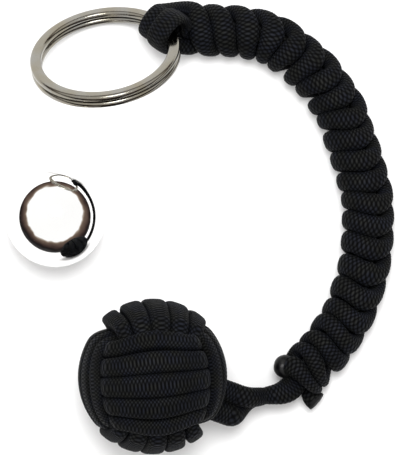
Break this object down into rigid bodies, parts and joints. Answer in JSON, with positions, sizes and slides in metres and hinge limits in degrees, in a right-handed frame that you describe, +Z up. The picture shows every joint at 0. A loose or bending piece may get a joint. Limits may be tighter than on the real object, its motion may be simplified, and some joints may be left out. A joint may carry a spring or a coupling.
{
  "type": "monkey fist knot lanyard",
  "caption": "Monkey's fist wound over a steel ball on a knotted cord lanyard with a split ring, and a bare core ball beside it.",
  "frame": {"origin": "on the surface that everything lies on, where the middle turn of the fist's first set rests on it", "axes": "+Z up; +X from the fist towards the neck and the lanyard's bend; +Y from the fist towards the split ring"},
  "size_m": [0.0777, 0.0912, 0.0304],
  "materials": {
    "black_cord": "braided black nylon, dull",
    "melted_cord": "melted nylon, glossy",
    "polished_steel": "mirror",
    "nickel_plate": "nickel plated, bright"
  },
  "bodies": {
    "lanyard": {"core_strand_a": "black_cord", "core_strand_b": "black_cord", "knot_strand_a": "black_cord", "knot_strand_b": "black_cord", "ring_bight_a": "black_cord", "ring_bight_b": "black_cord", "melted_end_a": "melted_cord", "melted_end_b": "melted_cord"},
    "neck": {"neck_leg_a": "black_cord", "neck_leg_b": "black_cord"},
    "fist": {"fist_core_ball": "polished_steel", "fist_first_turns": "black_cord", "fist_second_turns": "black_cord", "fist_third_turns": "black_cord"},
    "ring": {"split_ring": "nickel_plate"},
    "spare_ball": {"loose_ball": "polished_steel"}
  },
  "joints": [
    {"name": "neck_turn", "type": "hinge", "parent": "lanyard", "child": "neck", "pos_m": [0.0244, -0.0054, 0.0044], "axis": [0, 0, 1], "range_deg": [-60, 60]},
    {"name": "fist_nod", "type": "hinge", "parent": "neck", "child": "fist", "pos_m": [0.01586, -0.0073, 0.01], "axis": [0.342, 0.9397, 0], "range_deg": [-20, 60]},
    {"name": "ring_swing", "type": "hinge", "parent": "lanyard", "child": "ring", "pos_m": [0.00148, 0.06832, 0.00669], "axis": [-0.6088, 0.4275, -0.6683], "range_deg": [-120, 150]},
    {"name": "ball_lift", "type": "slide", "parent": "lanyard", "child": "spare_ball", "axis": [0, 0, 1], "range_m": [0, 0.06]}
  ]
}
